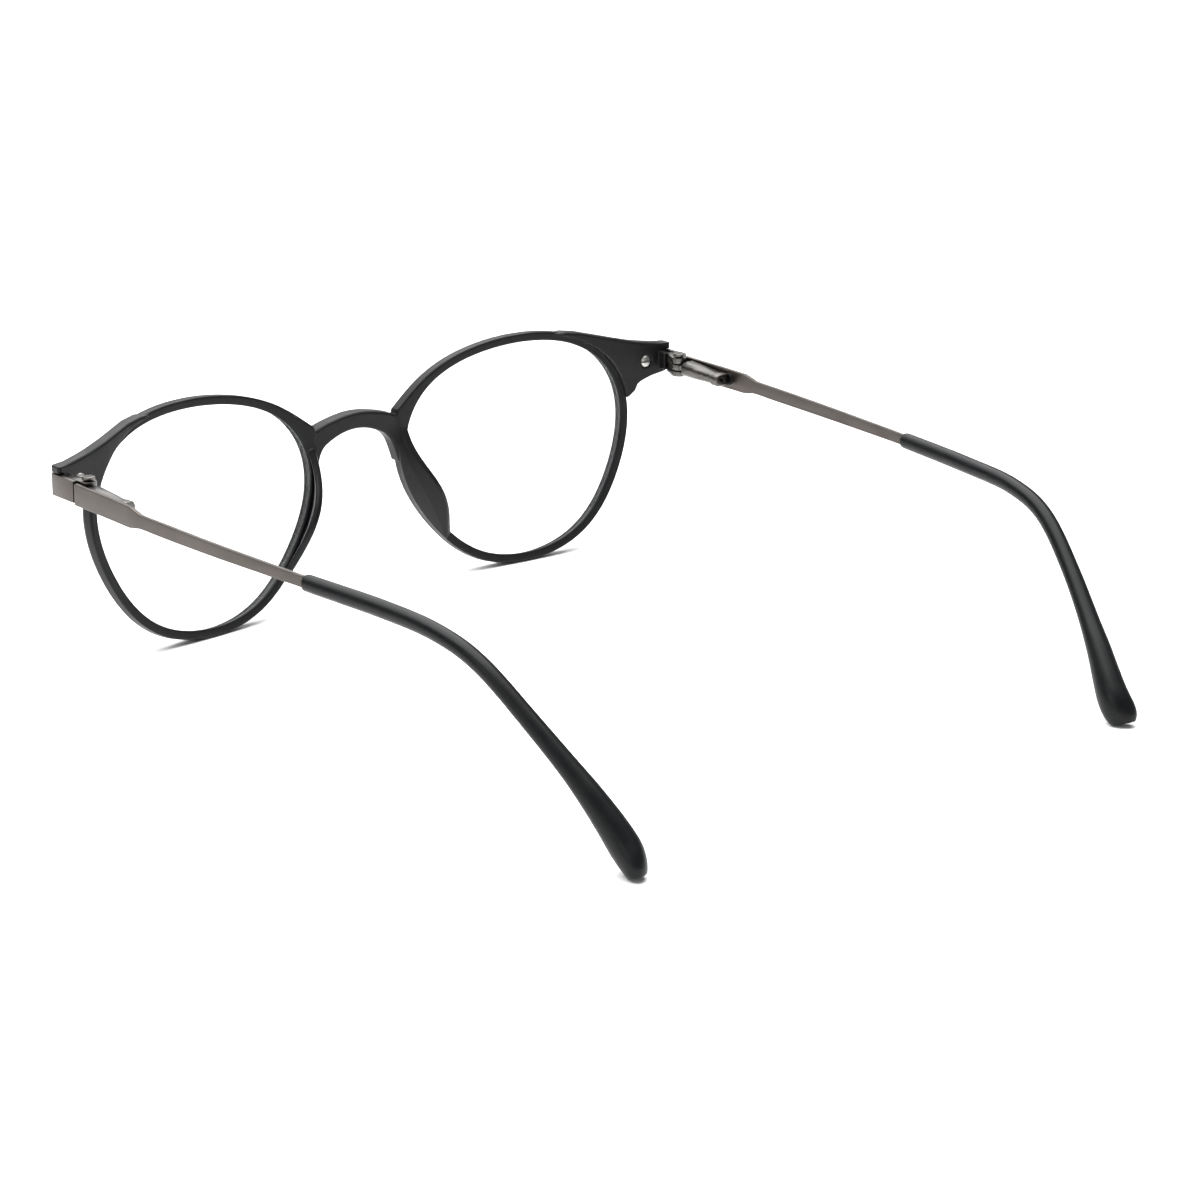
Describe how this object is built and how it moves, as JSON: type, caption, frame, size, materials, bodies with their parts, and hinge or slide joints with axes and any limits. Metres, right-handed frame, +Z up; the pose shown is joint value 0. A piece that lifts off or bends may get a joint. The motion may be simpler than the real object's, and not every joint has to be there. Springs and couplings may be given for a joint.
{
  "type": "round wire eyeglasses",
  "caption": "Full-rim round spectacles with moulded nose pads, clear lenses, slim metal temples on sprung hinges and sleeved curved ear tips",
  "frame": {"origin": "centre of the footprint, on the table that the rims and the temple tips stand on", "axes": "+X is the wearer's left and the frame's left-right axis of symmetry, +Y runs from the front toward the ears, +Z is up"},
  "size_m": [0.1384, 0.1484, 0.0431],
  "materials": {
    "frame": "satin black injection-moulded front",
    "lens": "clear polished lens",
    "gunmetal": "satin gunmetal plating",
    "screw": "bright turned screw",
    "steel": "bare spring steel",
    "tip": "satin black sleeve"
  },
  "bodies": {
    "front": {"front_frame": "frame", "left_lens": "lens", "left_end_plate": "gunmetal", "left_hinge_barrels": "gunmetal", "left_plate_screw": "screw", "left_hinge_screw": "screw", "right_lens": "lens", "right_end_plate": "gunmetal", "right_hinge_barrels": "gunmetal", "right_plate_screw": "screw", "right_hinge_screw": "screw"},
    "left_slider": {"left_spring_slider": "steel", "left_spring_washer": "steel"},
    "left_temple": {"left_temple_bar": "gunmetal", "left_spring_housing": "gunmetal", "left_spring_stop": "steel", "left_spring": "steel", "left_temple_tip": "tip"},
    "right_slider": {"right_spring_slider": "steel", "right_spring_washer": "steel"},
    "right_temple": {"right_temple_bar": "gunmetal", "right_spring_housing": "gunmetal", "right_spring_stop": "steel", "right_spring": "steel", "right_temple_tip": "tip"}
  },
  "joints": [
    {"name": "left_fold", "type": "hinge", "parent": "front", "child": "left_slider", "pos_m": [0.0665, -0.05706, 0.0348], "axis": [0, 0, 1], "range_deg": [-8, 86]},
    {"name": "left_spring_slide", "type": "slide", "parent": "left_slider", "child": "left_temple", "axis": [0, 1, 0], "range_m": [0, 0.0004], "stiffness_N_per_m": 4000, "springref_m": -0.0005},
    {"name": "right_fold", "type": "hinge", "parent": "front", "child": "right_slider", "pos_m": [-0.0665, -0.05706, 0.0348], "axis": [0, 0, -1], "range_deg": [-8, 80]},
    {"name": "right_spring_slide", "type": "slide", "parent": "right_slider", "child": "right_temple", "axis": [0, 1, 0], "range_m": [0, 0.0004], "stiffness_N_per_m": 4000, "springref_m": -0.0005}
  ]
}
